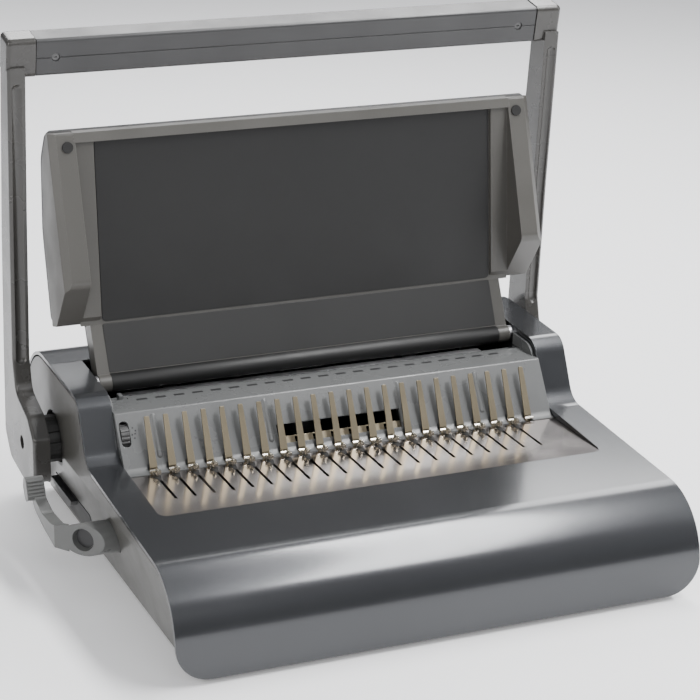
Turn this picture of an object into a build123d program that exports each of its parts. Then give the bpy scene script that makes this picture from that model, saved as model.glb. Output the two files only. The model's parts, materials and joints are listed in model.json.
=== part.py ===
from build123d import *
import math
import os

# Comb binding machine. Millimetres, +Z up, table at Z = 0.
# X runs along the comb, -Y faces the operator, Y = 0 is the line of comb fingers.

# ---- comb and punching ------------------------------------------------------
PITCH = 14.2875  # ring pitch of a plastic comb, 9/16 inch
RINGS = 21  # rings on a comb, so hooks, slots and punches
FINGERS = RINGS + 1
FIRST_FINGER_X = -PITCH * RINGS / 2
FIRST_PUNCH_X = -PITCH * (RINGS - 1) / 2
PUNCH_WIDE, PUNCH_HIGH = 7.9, 2.9
PUNCH_STROKE = 12.0
RUN = 0.05  # radial clearance of a running fit
SLIDE = 0.3  # clearance between sliding faces
GAP = 0.8  # seam between two casings

# ---- widths, from the middle outwards ---------------------------------------
DIE_HALF = -FIRST_PUNCH_X + PUNCH_WIDE / 2 + 2.175
BAY_HALF = DIE_HALF + 22.1  # half the width of the opening over the tower and plate
RIBBON = 24.6  # width of the cover beside that opening
COVER_HALF = BAY_HALF + RIBBON
CASING_LEAN = 16.2  # the side casings lean in towards the table by this much
CASING_FOOT_HALF = COVER_HALF - CASING_LEAN
NECK_HALF = BAY_HALF - 3.4
WING_IN = BAY_HALF + 2.4
WING_OUT = WING_IN + 19.0
ARM_IN = COVER_HALF + 11.1
ARM_OUT = ARM_IN + 12.7
BAR_END = ARM_IN - 8.8
LEVER_PLATE_IN = ARM_OUT + 1.1
LEVER_PLATE_OUT = LEVER_PLATE_IN + 8.4

# ---- covers and casings -----------------------------------------------------
COVER_WALL = 2.5
FRONT_Y = -180.0
BACK_Y = 176.0
SKIRT_Z = 4.0  # lower edge of the covers
DECK_FRONT_Z = 70.4
DECK_BACK_Y, DECK_BACK_Z = 14.5, 81.9
SHOULDER_Y, SHOULDER_Z = 35.8, 126.0
SEAM_Y, SEAM_Z = 105.0, 129.3
ROLL_Z = 130.6
NOSE_R, HOLLOW_R, SHOULDER_R, ROLL_R = 48.0, 18.0, 16.0, 45.0
CORNER_R = 25.0  # lower front corners, seen from the front
BAY_FRONT_Y = -76.5
BAY_CORNER_R = 7.0
FLANGE_WALL = 2.0
CASING_WALL = 3.0
CASING_LEAN_Z = 66.0
PAN_Z, PAN_WALL, PAN_RIB = 4.0, 3.0, 5.0
FOOT_R = 10.0

# ---- comb plate, tower and throat -------------------------------------------
PLATE_TOP_Z, PLATE_THICK = 76.0, 2.0
PLATE_BACK_Y = -2.5
SLOT_WIDE, SLOT_FRONT_Y = 2.2, -48.5
WALL_TOE_Y, WALL_TOE_Z = 2.5, PLATE_TOP_Z + 0.6
LEDGE_Y, LEDGE_Z = 27.0, 114.5
TOWER_WALL = 2.4
TOE_R = 7.0
THROAT_Y, THROAT_WIDE = 56.0, 5.0
TOWER_BACK_Y, TOWER_BACK_Z = 67.5, 111.0
END_WALL = 1.8
CHEEK_DROP = 4.0  # top of the tower's end walls, below the skin of the cover beside them
WINDOW_X0, WINDOW_X1 = -51.6, 47.0
WINDOW_LOW, WINDOW_HIGH = 82.5, 94.5
RAIL_LOW, RAIL_HIGH, RAIL_THICK = 81.5, 87.3, 1.6
RIB_PLACES = (0.0, 6.0, 13.5, 18.0)  # in pitches from the first punch
RIB_R, RIB_PROUD, RIB_LOW, RIB_HIGH = 2.6, 1.1, 86.0, 110.0

# ---- fingers ----------------------------------------------------------------
FINGER_THICK, FINGER_BASE_WIDE, FINGER_TIP_WIDE = 1.2, 5.6, 3.4
FINGER_OUT = 2.6  # front face of a finger, in front of the tower wall
FINGER_TIP_Z, FINGER_BASE_Z = 112.6, 79.0
FINGER_LEAN_Y = 20.0  # the fingers aim at this point, level with the ledge
FINGER_BAR_Y0, FINGER_BAR_Y1 = 3.4, 8.4
FINGER_BAR_LOW, FINGER_BAR_HIGH = 58.0, 70.0

# ---- punch frame ------------------------------------------------------------
SHAFT_Y, SHAFT_Z, SHAFT_R = 102.0, 72.0, 8.0
BUSH_R = SHAFT_R + 3.0
PUNCH_Z = 97.0
DIE_THICK, GUIDE_THICK = 5.5, 6.0
DIE_LOW, DIE_HIGH = 84.0, 107.0
FRAME_PLATE = 3.0
BAR_FRONT_Y, BAR_THICK = 80.0, 8.0
BAR_LOW, BAR_HIGH = 58.0, 106.0
CAM_X = DIE_HALF - 49.0
CAM_WIDE, CAM_HUB_R, CAM_CLEAR = 10.0, 13.0, 0.06
HANDLE_TURN = 90.0  # degrees from upright to the end of the punching stroke

# ---- handle -----------------------------------------------------------------
BAR_TILT = 10.6  # degrees
BAR_Y, BAR_Z = 118.3, 359.6
BAR_DEEP, BAR_TALL, BAR_WALL = 21.0, 27.8, 2.5
SCREW_HEAD_R, SCREW_SHANK_R, SCREW_SINK = 3.2, 1.8, 1.2
SCREW_X = BAR_END - 14.2
HUB_R, HUB_GROOVE = 18.5, 2.6
HUB_IN = COVER_HALF - 13.7
HUB_RIBS, HUB_RIB_WIDE = 8, 5.2
RECESS_R = HUB_R + 3.0
RECESS_DEEP = 8.0
CHANNEL_R, CHANNEL_DEEP = 5.2, 1.7  # hollow down the front of each arm
ARM_EDGE_R, CORNER_EDGE_R = 2.6, 3.5
ARM_HOLE_R = 5.2

# ---- document support -------------------------------------------------------
HINGE_Y, HINGE_Z, HINGE_PIN_R, HINGE_R = 76.0, 120.0, 4.0, 6.5
WING_BEVEL = 5.0
SHELL = 2.5
PANEL_THICK = 4.0
COVE_R = 14.0  # hollow corner between the panel and each wing
SUPPORT_TOP_Z, NECK_TOP_Z = 304.0, 158.5
SUPPORT_BACK = [(112.5, SUPPORT_TOP_Z), (126.0, 281.0), (127.0, 226.0), (109.0, 157.0), (91.0, 122.0)]
WING_FRONT_TOP, WING_FRONT_LOW, WING_LOW = (102.0, 303.4), (67.5, 199.0), (95.0, 161.0)
PANEL_LOW, PANEL_TOP = (93.0, 160.0), (105.5, 300.0)
BUMPER_X, BUMPER_Z, BUMPER_R = WING_IN + 6.2, 293.8, 4.0

# ---- comb lever and hook carriage -------------------------------------------
LEVER_Y, LEVER_R = -31.5, 12.0
LEVER_SHAFT_R = 5.0
CARRIAGE_TOP = PLATE_TOP_Z - PLATE_THICK - 1.0
CARRIAGE_BACK_Y, CARRIAGE_FRONT_Y, CARRIAGE_LOW = 1.0, -8.0, CARRIAGE_TOP - 11.0
CARRIAGE_HALF = DIE_HALF + 6.0
PINION_R, MODULE = 20.0, 1.25
PINION_TEETH = round(2 * PINION_R / MODULE)
PRESSURE = math.radians(20.0)
BACKLASH = 0.25
PITCH_LINE_Z = CARRIAGE_TOP - 5.7
LEVER_Z = PITCH_LINE_Z - PINION_R
PINION_X = DIE_HALF - 29.0
PINION_WIDE = 8.0
BRACKET_WIDE = 6.0
HUB_INNER_X = -(COVER_HALF - 11.7)
HUB_CUT_X = -(LEVER_PLATE_IN - 7.6)
LEVER_SOCKET = 12.0
PAD_PROUD, PAD_RIBS = 5.0, 5
HOOK_THICK = 1.5

# ---- thumbwheel and edge guide ----------------------------------------------
WHEEL_R, WHEEL_WIDE, WHEEL_PROUD = 9.5, 6.0, 1.3
WHEEL_LEFT_X, WHEEL_Z = -(BAY_HALF - 2.5), 101.2
WHEEL_FLUTES = 18
WHEEL_ROOM = 2.0  # from the wheel to each rounded end of its slot
SCREW_R, JOURNAL_R, NUT_R = 3.0, 2.0, 4.6
SCREW_END_X = -(DIE_HALF + 0.5)
GUIDE_X, GUIDE_LONG, GUIDE_TRAVEL = SCREW_END_X - 7.5, 3.0, 2.5

# ---- chip drawer ------------------------------------------------------------
DRAWER_Y0, DRAWER_Y1 = 40.0, 128.0
DRAWER_LOW, DRAWER_HIGH, DRAWER_WALL = 8.5, 33.0, 2.0
DRAWER_RIGHT = DIE_HALF - 9.0
DRAWER_FACE = 2.5
GRIP_Y, GRIP_HALF, GRIP_DROP, GRIP_THICK = 98.0, 27.0, 12.0, 5.0

# ---- spring and screws ------------------------------------------------------
SPRING_WIRE_R, SPRING_PITCH, SPRING_TURNS = 0.8, 2.4, 8
SPRING_X = DIE_HALF - 31.0
PAN_SCREW_R = 4.0

os.makedirs("parts", exist_ok=True)


def prism(points, x0, x1):
    """A YZ outline carried from x0 to x1."""
    face = Plane.YZ.offset(x0) * Polygon(*points, align=None)
    return extrude(face, amount=x1 - x0, dir=(1, 0, 0))


def rounded(points, radii, x0, x1):
    """A closed YZ outline with one corner radius for each point, from x0 to x1."""
    path = FilletPolyline(*points, radius=radii, close=True)
    return extrude(Plane.YZ.offset(x0) * make_face(path), amount=x1 - x0, dir=(1, 0, 0))


def block(x0, x1, y0, y1, z0, z1):
    return Pos((x0 + x1) / 2, (y0 + y1) / 2, (z0 + z1) / 2) * Box(x1 - x0, y1 - y0, z1 - z0)


def rod(radius, x0, x1, y, z):
    """A round bar along X."""
    return Plane.YZ.offset(x0) * Pos(y, z, 0) * Cylinder(
        radius, x1 - x0, align=(Align.CENTER, Align.CENTER, Align.MIN)
    )


def mirrored(part):
    return mirror(part, about=Plane.YZ)


def shifted(points, distance):
    """The open line through points, moved to its right-hand side by distance."""
    moved = []
    for i, point in enumerate(points):
        before = points[max(i - 1, 0)]
        after = points[min(i + 1, len(points) - 1)]
        a = math.atan2(point[1] - before[1], point[0] - before[0])
        b = math.atan2(after[1] - point[1], after[0] - point[0])
        a = b if i == 0 else a
        b = a if i == len(points) - 1 else b
        middle = (a + b) / 2 - math.pi / 2
        reach = distance / math.cos((a - b) / 2)
        moved.append((point[0] + reach * math.cos(middle), point[1] + reach * math.sin(middle)))
    return moved


def sheet(points, radii, turns, wall, x0, x1):
    """A bent sheet whose outer line is points; turns says which corners bend inwards."""
    inner = shifted(points, wall)
    inner_radii = [r + wall if turn < 0 else max(r - wall, 0.2) for r, turn in zip(radii, turns)]
    outer_line = FilletPolyline(*points, radius=radii)
    inner_line = FilletPolyline(*inner, radius=inner_radii)
    ends = Line(points[0], inner[0]) + Line(points[-1], inner[-1])
    face = make_face(outer_line.edges() + inner_line.edges() + ends.edges())
    return extrude(Plane.YZ.offset(x0) * face, amount=x1 - x0, dir=(1, 0, 0))


def write(name, part):
    solids = part.solids()
    export_step(solids[0] if len(solids) == 1 else Compound(children=solids), f"parts/{name}.step")


# ---- covers -----------------------------------------------------------------
FRONT_LINE = [
    (FRONT_Y, SKIRT_Z),
    (FRONT_Y, DECK_FRONT_Z),
    (DECK_BACK_Y, DECK_BACK_Z),
    (SHOULDER_Y, SHOULDER_Z),
    (SEAM_Y, SEAM_Z),
]
FRONT_RADII = [NOSE_R, HOLLOW_R, SHOULDER_R]
FRONT_TURNS = [1, -1, 1]
BACK_LINE = [(SEAM_Y + GAP, SEAM_Z), (BACK_Y - 5.0, ROLL_Z), (BACK_Y, SKIRT_Z)]


def lower_corners():
    """Front view outline that rounds the covers' lower corners."""
    outline = FilletPolyline(
        (-COVER_HALF, SKIRT_Z),
        (COVER_HALF, SKIRT_Z),
        (COVER_HALF, 400.0),
        (-COVER_HALF, 400.0),
        radius=[CORNER_R, CORNER_R, 1.0, 1.0],
        close=True,
    )
    return extrude(Plane.XZ * make_face(outline), amount=300.0, both=True)


def make_front_cover():
    cover = sheet(FRONT_LINE, FRONT_RADII, FRONT_TURNS, COVER_WALL, -COVER_HALF, COVER_HALF)
    bay = Plane.XY.offset(60.0) * Pos(0, (BAY_FRONT_Y + 130.0) / 2, 0) * RectangleRounded(
        2 * BAY_HALF, 130.0 - BAY_FRONT_Y, BAY_CORNER_R
    )
    cover = (cover - extrude(bay, amount=100.0)) & lower_corners()
    # Turned-down flange on each side of the bay, from half-way up the wall to the comb plate.
    inset = COVER_WALL / 2
    inside = shifted(FRONT_LINE, inset)
    front = BAY_FRONT_Y + BAY_CORNER_R
    flange_outline = [
        (front, PLATE_TOP_Z - PLATE_THICK),
        (front, deck_height(front, inset)),
        inside[2],
        inside[3],
        inside[4],
        (inside[4][0], HINGE_Z - HINGE_R - 10.0),
        (DECK_BACK_Y + 4.0, PLATE_TOP_Z - PLATE_THICK),
    ]
    radii = [0, 0, HOLLOW_R + inset, SHOULDER_R - inset, 0, 0, 0]
    flange = rounded(flange_outline, radii, BAY_HALF, BAY_HALF + FLANGE_WALL)
    return cover + flange + mirrored(flange)


def deck_height(y, inset):
    """Height of the sloping deck at y, inset from its outer skin."""
    line = shifted(FRONT_LINE, inset)
    (y0, z0), (y1, z1) = line[1], line[2]
    return z0 + (z1 - z0) * (y - y0) / (y1 - y0)


def make_rear_cover():
    cover = sheet(BACK_LINE, [ROLL_R], [1], COVER_WALL, -COVER_HALF, COVER_HALF)
    return cover & lower_corners()


def casing_outline(inset):
    """Side outline under both covers, inset from the outer skin."""
    whole = FRONT_LINE[:-1] + BACK_LINE[1:]
    line = shifted(whole, inset)
    floor = SKIRT_Z
    line[0] = (line[0][0], floor)
    line[-1] = (line[-1][0], floor)
    return line


def casing_radii(inset):
    return [0, NOSE_R - inset, HOLLOW_R + inset, SHOULDER_R - inset + 1.0, ROLL_R - inset, 0]


def lean_block(inset, z0):
    """The space inside the leaning outer face of the left casing."""
    top_half = COVER_HALF - 0.2 - inset
    foot_half = CASING_FOOT_HALF - inset
    outline = Polygon(
        (-foot_half, z0),
        (-top_half, CASING_LEAN_Z),
        (-top_half, 200.0),
        (-BAY_HALF - FLANGE_WALL - SLIDE, 200.0),
        (-BAY_HALF - FLANGE_WALL - SLIDE, z0),
        align=None,
    )
    return extrude(Plane.XZ * outline, amount=300.0, both=True)


def make_casing():
    inset = COVER_WALL + GAP
    outer = rounded(casing_outline(inset), casing_radii(inset), -COVER_HALF, -BAY_HALF)
    hollow_inset = inset + CASING_WALL
    inner = rounded(casing_outline(hollow_inset), casing_radii(hollow_inset), -COVER_HALF, -BAY_HALF)
    casing = (outer & lean_block(0.0, SKIRT_Z)) - (inner & lean_block(CASING_WALL, 0.0))
    casing -= rod(RECESS_R, -COVER_HALF - 5.0, -BAY_HALF, SHAFT_Y, SHAFT_Z)
    return casing


def make_left_casing():
    casing = make_casing()
    casing -= rod(LEVER_R + 0.6, -COVER_HALF - 5.0, -BAY_HALF, LEVER_Y, LEVER_Z)
    casing -= block(
        -COVER_HALF, -BAY_HALF, DRAWER_Y0 - GAP, DRAWER_Y1 + GAP, DRAWER_LOW - GAP, DRAWER_HIGH + GAP
    )
    return casing


def make_right_casing():
    return mirrored(make_casing())


PAN_HALF = CASING_FOOT_HALF - CASING_WALL - 1.0
PAN_FRONT_Y = FRONT_Y + COVER_WALL + GAP + CASING_WALL + 1.0
PAN_BACK_Y = BACK_Y - COVER_WALL - GAP - CASING_WALL - 1.5
PAN_RIB_YS = (FRONT_Y + 30.0, FRONT_Y + 70.0, DRAWER_Y0 - 20.0, DRAWER_Y1 + 22.0)
FOOT_X = CASING_FOOT_HALF - 39.5
FOOT_PLACES = [(x, y) for x in (-FOOT_X, FOOT_X) for y in (FRONT_Y + 40.0, BACK_Y - 31.0)]
SCREW_PLACES = [(x, y) for x in (20.0 - FOOT_X, FOOT_X - 20.0) for y in (FRONT_Y + 75.0, BACK_Y - 56.0)]


def make_base_pan():
    floor = block(-PAN_HALF, PAN_HALF, PAN_FRONT_Y, PAN_BACK_Y, PAN_Z, PAN_Z + PAN_WALL)
    pan = fillet(floor.edges().filter_by(Axis.Z), 12.0)
    for y in PAN_RIB_YS:
        top = PAN_Z + PAN_WALL
        pan += block(-PAN_HALF + 14.0, PAN_HALF - 14.0, y, y + 2.0, top, top + PAN_RIB)
    return pan


def make_feet():
    feet = []
    for x, y in FOOT_PLACES:
        foot = Pos(x, y, PAN_Z / 2) * Cylinder(FOOT_R, PAN_Z)
        feet.append(chamfer(foot.edges().group_by(Axis.Z)[0], 0.8))
    middle = block(-30.0, 30.0, -9.0, 9.0, 0.0, PAN_Z)
    feet.append(fillet(middle.edges().filter_by(Axis.Z), 8.5))
    return Compound(children=feet)


# ---- comb plate, fingers and tower ------------------------------------------
WALL_SLOPE = math.atan2(LEDGE_Z - WALL_TOE_Z, LEDGE_Y - WALL_TOE_Y)
WALL_ALONG = (math.cos(WALL_SLOPE), math.sin(WALL_SLOPE))
WALL_OUT = (-math.sin(WALL_SLOPE), math.cos(WALL_SLOPE))


def wall_point(z, out):
    """A point at height z on the tower's sloping front wall, moved out from it."""
    y = WALL_TOE_Y + (z - WALL_TOE_Z) / math.tan(WALL_SLOPE)
    return (y + out * WALL_OUT[0], z + out * WALL_OUT[1])


def finger_point(z, out):
    """A point at height z on the line of the fingers, moved out from it."""
    lean = math.atan2(LEDGE_Z - WALL_TOE_Z, FINGER_LEAN_Y - WALL_TOE_Y)
    y = WALL_TOE_Y + (z - WALL_TOE_Z) / math.tan(lean)
    return (y - out * math.sin(lean), z + out * math.cos(lean))


def finger_xs():
    return [FIRST_FINGER_X + PITCH * i for i in range(FINGERS)]


def punch_xs():
    return [FIRST_PUNCH_X + PITCH * i for i in range(RINGS)]


def make_comb_plate():
    plate = block(
        -BAY_HALF + 0.3,
        BAY_HALF - 0.3,
        BAY_FRONT_Y + 0.3,
        PLATE_BACK_Y,
        PLATE_TOP_Z - PLATE_THICK,
        PLATE_TOP_Z,
    )
    plate = fillet(plate.edges().filter_by(Axis.Z).group_by(Axis.Y)[0], BAY_CORNER_R - 0.3)
    for x in finger_xs()[:RINGS]:
        length = PLATE_BACK_Y - SLOT_FRONT_Y + 4.0
        slot = Pos(x, SLOT_FRONT_Y + length / 2, PLATE_TOP_Z - PLATE_THICK) * Box(
            SLOT_WIDE, length, 3 * PLATE_THICK
        )
        plate -= slot
    return plate


def finger_outline():
    """Side outline of one finger: leaning blade, bend and foot on the bar."""
    back = FINGER_OUT - FINGER_THICK
    foot = FINGER_BAR_Y0 + FINGER_THICK
    return [
        finger_point(FINGER_TIP_Z, FINGER_OUT),
        finger_point(FINGER_BASE_Z, FINGER_OUT),
        (FINGER_BAR_Y0, FINGER_BAR_HIGH + 1.0),
        (FINGER_BAR_Y0, FINGER_BAR_LOW + 1.0),
        (foot, FINGER_BAR_LOW + 1.0),
        (foot, FINGER_BAR_HIGH + 1.0),
        finger_point(FINGER_BASE_Z, back),
        finger_point(FINGER_TIP_Z, back),
    ]


def finger_taper(x):
    """Front view of one finger, narrower and rounded at the tip."""
    base, tip = FINGER_BASE_WIDE / 2, FINGER_TIP_WIDE / 2
    low = FINGER_BAR_LOW
    high = finger_point(FINGER_TIP_Z, FINGER_OUT)[1] + 0.5
    outline = FilletPolyline(
        (x - base, low),
        (x + base, low),
        (x + base, FINGER_BASE_Z),
        (x + tip, high),
        (x - tip, high),
        (x - base, FINGER_BASE_Z),
        radius=[0, 0, 4.0, tip * 0.9, tip * 0.9, 4.0],
        close=True,
    )
    return extrude(Plane.XZ * make_face(outline), amount=60.0, both=True)


def make_comb_fingers():
    fingers = []
    for x in finger_xs():
        blade = prism(finger_outline(), x - FINGER_BASE_WIDE, x + FINGER_BASE_WIDE)
        fingers.append((blade & finger_taper(x)).solids()[0])
    return Compound(children=fingers)


def make_finger_bar():
    half = -FIRST_FINGER_X + 6.0
    y0 = FINGER_BAR_Y0 + FINGER_THICK
    return block(-half, half, y0, FINGER_BAR_Y1, FINGER_BAR_LOW, FINGER_BAR_HIGH)


TOWER_LINE = [
    (WALL_TOE_Y - 4.5, WALL_TOE_Z),
    (WALL_TOE_Y, WALL_TOE_Z),
    (LEDGE_Y, LEDGE_Z),
    (THROAT_Y, LEDGE_Z),
]


def wheel_axis():
    """Centre of the thumbwheel, just proud of the tower wall."""
    return wall_point(WHEEL_Z, WHEEL_PROUD - WHEEL_R)


def make_punch_tower():
    half = BAY_HALF - 0.3
    tower = sheet(TOWER_LINE, [TOE_R, 1.5], [-1, 1], TOWER_WALL, -half, half)
    back = [
        (THROAT_Y + THROAT_WIDE, TOWER_BACK_Z),
        (TOWER_BACK_Y, TOWER_BACK_Z),
        (TOWER_BACK_Y, TOWER_BACK_Z - TOWER_WALL),
        (THROAT_Y + THROAT_WIDE, TOWER_BACK_Z - TOWER_WALL),
    ]
    tower += prism(back, -half, half)
    inner = shifted(TOWER_LINE, TOWER_WALL)
    for side in (-1, 1):
        end = [
            inner[1],
            inner[2],
            (TOWER_BACK_Y, LEDGE_Z - TOWER_WALL),
            (TOWER_BACK_Y, TOWER_BACK_Z - TOWER_WALL),
            (TOWER_BACK_Y, 80.0),
            (FINGER_BAR_Y1 + 3.0, 74.2),
        ]
        x0, x1 = sorted((side * (half - END_WALL), side * half))
        tower += prism(end, x0, x1)
        # The end wall rises above the ledge, just under the cover beside it.
        cheek = rounded(casing_outline(CHEEK_DROP), casing_radii(CHEEK_DROP), x0, x1)
        tower += cheek & block(x0, x1, LEDGE_Y, TOWER_BACK_Y, LEDGE_Z - 1.0, SEAM_Z)
    window = prism(
        [
            wall_point(WINDOW_LOW, 2),
            wall_point(WINDOW_HIGH, 2),
            wall_point(WINDOW_HIGH, -4),
            wall_point(WINDOW_LOW, -4),
        ],
        WINDOW_X0,
        WINDOW_X1,
    )
    tower -= window
    for x in finger_xs():
        notch = FINGER_BASE_WIDE / 2 + 0.6
        tower -= block(
            x - notch, x + notch, WALL_TOE_Y - 5.0, FINGER_BAR_Y0 + 2.6, 73.0, FINGER_BASE_Z + 2.0
        )
    reach = math.sqrt(WHEEL_R**2 - (WHEEL_R - WHEEL_PROUD - TOWER_WALL) ** 2) + WHEEL_ROOM
    wheel_y, wheel_z = wheel_axis()
    slot_y, slot_z = wall_point(WHEEL_Z, 0)
    slot = Box(WHEEL_WIDE + 1.0, 2 * reach, 12.0)
    slot = fillet(slot.edges().filter_by(Axis.Z), (WHEEL_WIDE + 1.0) * 0.45)
    middle_x = WHEEL_LEFT_X + WHEEL_WIDE / 2
    tower -= Pos(middle_x, slot_y, slot_z) * Rot(math.degrees(WALL_SLOPE), 0, 0) * slot
    # Bearing post for the inner end of the lead screw.
    post = block(
        SCREW_END_X - 2.5, SCREW_END_X, wheel_y - 5.0, wheel_y + 5.0, wheel_z - 5.0, LEDGE_Z - 1.0
    )
    post -= rod(SCREW_R + RUN, SCREW_END_X - 3.0, SCREW_END_X + 1.0, wheel_y, wheel_z)
    ahead = [wall_point(70.0, 0), wall_point(70.0, 30.0), wall_point(130.0, 30.0), wall_point(130.0, 0)]
    tower += post - prism(ahead, SCREW_END_X - 3.0, SCREW_END_X + 1.0)
    tower -= rod(JOURNAL_R + RUN, -BAY_HALF, END_WALL - half + 0.5, wheel_y, wheel_z)
    for place in RIB_PLACES:
        tower += wall_rib(FIRST_PUNCH_X + PITCH * place)
    # Room in the throat for the edge guide to slide.
    tower -= block(
        GUIDE_X - GUIDE_LONG / 2 - GUIDE_TRAVEL - 1.0,
        GUIDE_X + GUIDE_LONG / 2 + GUIDE_TRAVEL + 1.0,
        THROAT_Y - 3.0,
        THROAT_Y + THROAT_WIDE + 1.0,
        100.0,
        120.0,
    )
    return tower


def wall_rib(x):
    """Half-round rib up the tower wall, with round ends."""
    low_y, low_z = wall_point(RIB_LOW, RIB_PROUD - RIB_R)
    high_y, high_z = wall_point(RIB_HIGH, RIB_PROUD - RIB_R)
    along = Vector(0, high_y - low_y, high_z - low_z)
    place = Plane(origin=(x, low_y, low_z), x_dir=(1, 0, 0), z_dir=along)
    rib = place * Cylinder(RIB_R, along.length, align=(Align.CENTER, Align.CENTER, Align.MIN))
    rib += Pos(x, low_y, low_z) * Sphere(RIB_R) + Pos(x, high_y, high_z) * Sphere(RIB_R)
    behind = [
        wall_point(70.0, -1.0),
        wall_point(130.0, -1.0),
        wall_point(130.0, -20.0),
        wall_point(70.0, -20.0),
    ]
    return rib - prism(behind, x - 2 * RIB_R, x + 2 * RIB_R)


def make_window_rail():
    """Notched steel rail seen through the window in the tower wall."""
    front, back = -TOWER_WALL - 1.0, -TOWER_WALL - 1.0 - RAIL_THICK
    outline = [
        wall_point(RAIL_LOW, front),
        wall_point(RAIL_HIGH, front),
        wall_point(RAIL_HIGH, back),
        wall_point(RAIL_LOW, back),
    ]
    rail = prism(outline, WINDOW_X0 - 4.0, WINDOW_X1 + 4.0)
    for x in finger_xs():
        if WINDOW_X0 < x < WINDOW_X1:
            rail -= block(x - 2.0, x + 2.0, 0.0, 40.0, RAIL_LOW - 5.0, RAIL_HIGH - 2.6)
    return rail


# ---- punch frame ------------------------------------------------------------
def punch_hole(x, margin):
    return block(
        x - PUNCH_WIDE / 2 - margin,
        x + PUNCH_WIDE / 2 + margin,
        0.0,
        BAR_FRONT_Y,
        PUNCH_Z - PUNCH_HIGH / 2 - margin,
        PUNCH_Z + PUNCH_HIGH / 2 + margin,
    )


def make_die_plate():
    die = block(-DIE_HALF, DIE_HALF, THROAT_Y - DIE_THICK, THROAT_Y, DIE_LOW, DIE_HIGH)
    for x in punch_xs():
        die -= punch_hole(x, RUN)
    return die


def make_punch_guide():
    y0 = THROAT_Y + THROAT_WIDE
    guide = block(-DIE_HALF, DIE_HALF, y0, y0 + GUIDE_THICK, DIE_LOW, DIE_HIGH)
    for x in punch_xs():
        guide -= punch_hole(x, RUN)
    return guide


def make_frame_plate():
    """End plate that carries the die, the guide and the handle shaft."""
    outline = [
        (DRAWER_Y0 - 12.0, PAN_Z + PAN_WALL),
        (DRAWER_Y0 - 12.0, 60.0),
        (THROAT_Y - DIE_THICK - 3.0, DIE_LOW),
        (THROAT_Y - DIE_THICK - 3.0, DIE_HIGH),
        (TOWER_BACK_Y - 0.5, DIE_HIGH),
        (TOWER_BACK_Y - 0.5, 100.0),
        (SHAFT_Y + 16.0, SHAFT_Z + 16.0),
        (DRAWER_Y1 + 12.0, SHAFT_Z - 20.0),
        (DRAWER_Y1 + 12.0, PAN_Z + PAN_WALL),
        (DRAWER_Y1 + 3.0, PAN_Z + PAN_WALL),
        (DRAWER_Y1 + 3.0, DRAWER_HIGH + 3.0),
        (DRAWER_Y0 - 3.0, DRAWER_HIGH + 3.0),
        (DRAWER_Y0 - 3.0, PAN_Z + PAN_WALL),
    ]
    plate = prism(outline, DIE_HALF, DIE_HALF + FRAME_PLATE)
    plate -= rod(BUSH_R, DIE_HALF - 1, DIE_HALF + FRAME_PLATE + 1, SHAFT_Y, SHAFT_Z)
    # Throat notch, so that a wide sheet can pass between die and guide.
    plate -= block(
        DIE_HALF - 1,
        DIE_HALF + FRAME_PLATE + 1,
        THROAT_Y,
        THROAT_Y + THROAT_WIDE,
        DIE_LOW,
        DIE_HIGH + 1.0,
    )
    return plate


def make_shaft_bushes():
    bush = rod(BUSH_R, DIE_HALF, DIE_HALF + FRAME_PLATE, SHAFT_Y, SHAFT_Z)
    bush += rod(BUSH_R + 2.0, DIE_HALF + FRAME_PLATE, DIE_HALF + FRAME_PLATE + 2.5, SHAFT_Y, SHAFT_Z)
    bush -= rod(SHAFT_R + RUN, DIE_HALF - 1, DIE_HALF + FRAME_PLATE + 5, SHAFT_Y, SHAFT_Z)
    return bush + mirrored(bush)


def make_punch_bar():
    half = DIE_HALF - 0.6
    bar = block(-half, half, BAR_FRONT_Y, BAR_FRONT_Y + BAR_THICK, BAR_LOW, BAR_HIGH)
    for x in (-45.0, 45.0):
        bar -= block(x - 34.0, x + 34.0, BAR_FRONT_Y - 1, BAR_FRONT_Y + 20, BAR_LOW - 1, BAR_LOW + 24)
    return bar


def make_punches():
    """Flat punches, their tips drawn back flush with the throat at rest."""
    tip = THROAT_Y + THROAT_WIDE + 0.5
    pins = []
    for x in punch_xs():
        pins.append(
            block(
                x - PUNCH_WIDE / 2,
                x + PUNCH_WIDE / 2,
                tip,
                BAR_FRONT_Y,
                PUNCH_Z - PUNCH_HIGH / 2,
                PUNCH_Z + PUNCH_HIGH / 2,
            )
        )
    return Compound(children=pins)


CAM_RISE = PUNCH_STROKE / math.radians(HANDLE_TURN)  # mm per radian


def make_cams():
    """Flat-faced follower cams: the distance to the follower grows evenly with the turn."""
    base = SHAFT_Y - BAR_FRONT_Y - BAR_THICK - CAM_CLEAR
    points = []
    for step in range(25):
        turn = math.radians(-10.0 + step * (HANDLE_TURN + 20.0) / 24)
        reach = base + CAM_RISE * turn
        # At rest the follower looks at -Y; material at this angle arrives there after the turn.
        normal = math.pi - turn
        along = -CAM_RISE
        y = reach * math.cos(normal) - along * math.sin(normal)
        z = reach * math.sin(normal) + along * math.cos(normal)
        points.append((SHAFT_Y + y, SHAFT_Z + z))
    first, last = points[0], points[-1]
    line = Spline(*points) + Polyline(
        last, (SHAFT_Y + 10.0, SHAFT_Z + 13.0), (SHAFT_Y + 12.0, SHAFT_Z - 8.0), first
    )
    face = make_face(line.edges())
    cams = []
    for x in (-CAM_X, CAM_X):
        cam = extrude(Plane.YZ.offset(x - CAM_WIDE / 2) * face, amount=CAM_WIDE, dir=(1, 0, 0))
        cam += rod(CAM_HUB_R, x - CAM_WIDE / 2, x + CAM_WIDE / 2, SHAFT_Y, SHAFT_Z)
        cams.append(cam - rod(SHAFT_R, x - CAM_WIDE, x + CAM_WIDE, SHAFT_Y, SHAFT_Z))
    return Compound(children=[c.solids()[0] for c in cams])


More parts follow.
